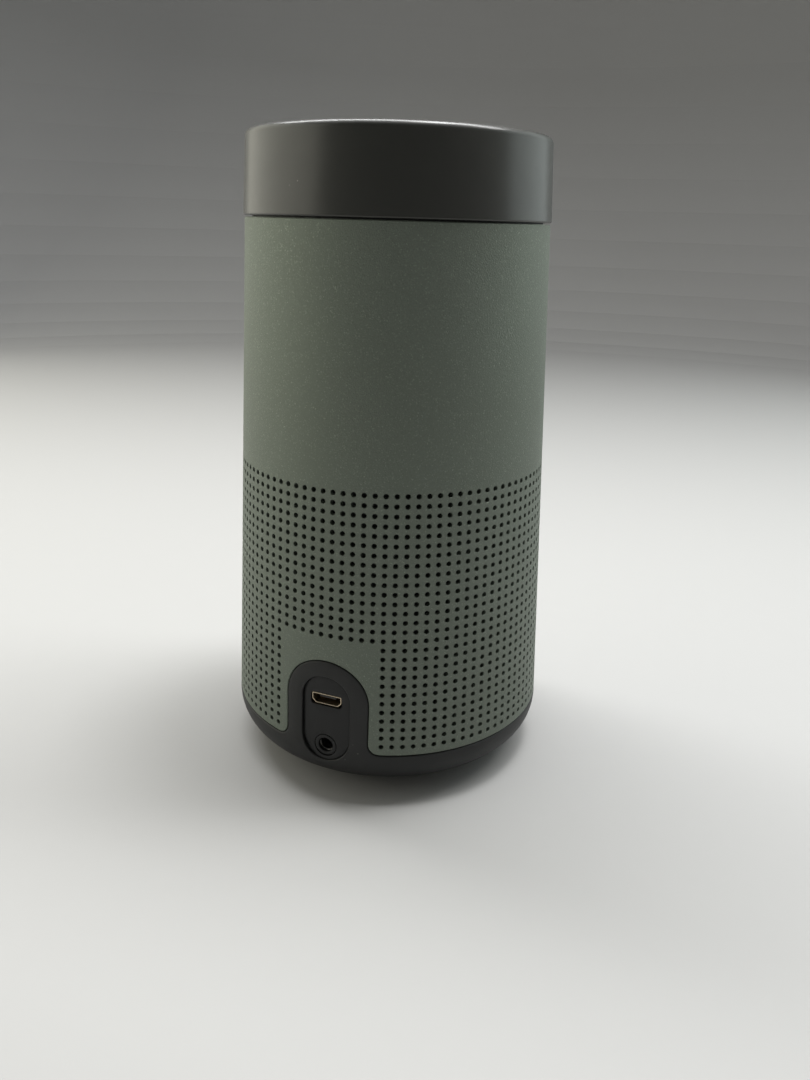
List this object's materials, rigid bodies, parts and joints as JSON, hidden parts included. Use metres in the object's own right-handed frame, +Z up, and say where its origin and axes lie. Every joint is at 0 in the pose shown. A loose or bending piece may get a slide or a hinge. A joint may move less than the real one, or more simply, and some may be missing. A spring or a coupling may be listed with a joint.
{
  "type": "portable bluetooth speaker",
  "caption": "Conical battery speaker: perforated metal sleeve, rubber base with rear charging and audio sockets, dished cap with push buttons, down-firing driver and side radiators.",
  "frame": {"origin": "centre of the foot's underside, on the surface that the speaker stands on", "axes": "+Z up along the sleeve's axis; the sockets face +Y (rear) and the button icons read upright from -Y (front); +X is to the right seen from the front"},
  "size_m": [0.082, 0.0818, 0.152],
  "materials": {
    "anodised_aluminium": "satin",
    "cap_rubber": "matte",
    "button_rubber": "matte",
    "base_rubber": "matte",
    "panel_plastic": "matte",
    "frame_plastic": "matte",
    "steel": "satin",
    "brass": "satin",
    "jack_plastic": "matte",
    "circuit_board": "satin",
    "flex_film": "satin",
    "ferrite": "matte",
    "coil_copper": "satin",
    "paper_cone": "matte",
    "surround_rubber": "matte",
    "treated_cloth": "woven",
    "radiator_metal": "satin",
    "cell_wrap": "satin",
    "foam": "matte",
    "capacitor_sleeve": "gloss",
    "clear_plastic": "gloss"
  },
  "bodies": {
    "housing": {"acoustic_deflector": "frame_plastic", "acoustic_scrim": "treated_cloth", "aux_jack": "jack_plastic", "aux_jack_bush": "steel", "base_foot": "base_rubber", "base_frame": "frame_plastic", "base_screws": "steel", "battery_cells": "cell_wrap", "battery_foam": "foam", "board_screws": "steel", "cap_carrier": "frame_plastic", "capacitors": "capacitor_sleeve", "charging_board": "circuit_board", "charging_contacts": "brass", "control_board": "circuit_board", "control_screws": "steel", "deflector_screws": "steel", "driver_basket": "frame_plastic", "driver_gasket": "surround_rubber", "driver_leads": "coil_copper", "driver_magnet": "ferrite", "driver_screws": "steel", "driver_spider": "treated_cloth", "driver_surround": "surround_rubber", "driver_terminals": "jack_plastic", "driver_top_plate": "steel", "driver_yoke": "steel", "enclosure_gasket": "surround_rubber", "enclosure_lid": "frame_plastic", "enclosure_shell": "frame_plastic", "foot_plate": "frame_plastic", "lid_screws": "steel", "light_pipes": "clear_plastic", "main_board": "circuit_board", "perforated_sleeve": "anodised_aluminium", "port_board": "circuit_board", "port_flex": "flex_film", "port_panel": "panel_plastic", "power_inductors": "jack_plastic", "radiator_frames": "frame_plastic", "radiator_surround_left": "surround_rubber", "radiator_surround_right": "surround_rubber", "rubber_base": "base_rubber", "shield_can": "steel", "switch_housings": "jack_plastic", "top_cap": "cap_rubber", "tripod_insert": "brass", "usb_socket": "steel", "usb_tongue": "jack_plastic"},
    "driver_diaphragm": {"driver_cone": "paper_cone", "voice_coil": "coil_copper"},
    "left_radiator": {"radiator_plate_left": "radiator_metal"},
    "right_radiator": {"radiator_plate_right": "radiator_metal"},
    "power_key": {"power_button": "button_rubber"},
    "pairing_key": {"pairing_button": "button_rubber"},
    "source_key": {"source_button": "button_rubber"},
    "volume_down_key": {"volume_down_button": "button_rubber"},
    "multifunction_key": {"multifunction_button": "button_rubber"},
    "volume_up_key": {"volume_up_button": "button_rubber"}
  },
  "joints": [
    {"name": "driver_stroke", "type": "slide", "parent": "housing", "child": "driver_diaphragm", "axis": [0, 0, -1], "range_m": [-0.002, 0.002], "stiffness_N_per_m": 1500, "deforming": ["driver_surround", "driver_spider"]},
    {"name": "right_radiator_stroke", "type": "slide", "parent": "housing", "child": "right_radiator", "axis": [1, 0, 0], "range_m": [-0.0015, 0.0015], "stiffness_N_per_m": 900, "deforming": ["radiator_surround_right"]},
    {"name": "left_radiator_stroke", "type": "slide", "parent": "housing", "child": "left_radiator", "axis": [-1, 0, 0], "range_m": [-0.0015, 0.0015], "stiffness_N_per_m": 900, "deforming": ["radiator_surround_left"]},
    {"name": "power_press", "type": "slide", "parent": "housing", "child": "power_key", "axis": [0, 0, -1], "range_m": [0, 0.0005], "stiffness_N_per_m": 3000},
    {"name": "pairing_press", "type": "slide", "parent": "housing", "child": "pairing_key", "axis": [0, 0, -1], "range_m": [0, 0.0005], "stiffness_N_per_m": 3000},
    {"name": "source_press", "type": "slide", "parent": "housing", "child": "source_key", "axis": [0, 0, -1], "range_m": [0, 0.0005], "stiffness_N_per_m": 3000},
    {"name": "volume_down_press", "type": "slide", "parent": "housing", "child": "volume_down_key", "axis": [0, 0, -1], "range_m": [0, 0.0005], "stiffness_N_per_m": 3000},
    {"name": "multifunction_press", "type": "slide", "parent": "housing", "child": "multifunction_key", "axis": [0, 0, -1], "range_m": [0, 0.0005], "stiffness_N_per_m": 3000},
    {"name": "volume_up_press", "type": "slide", "parent": "housing", "child": "volume_up_key", "axis": [0, 0, -1], "range_m": [0, 0.0005], "stiffness_N_per_m": 3000}
  ],
  "couplings": [
    {"joint": "right_radiator_stroke", "follows": "driver_stroke", "ratio": -0.72},
    {"joint": "left_radiator_stroke", "follows": "driver_stroke", "ratio": -0.72}
  ]
}
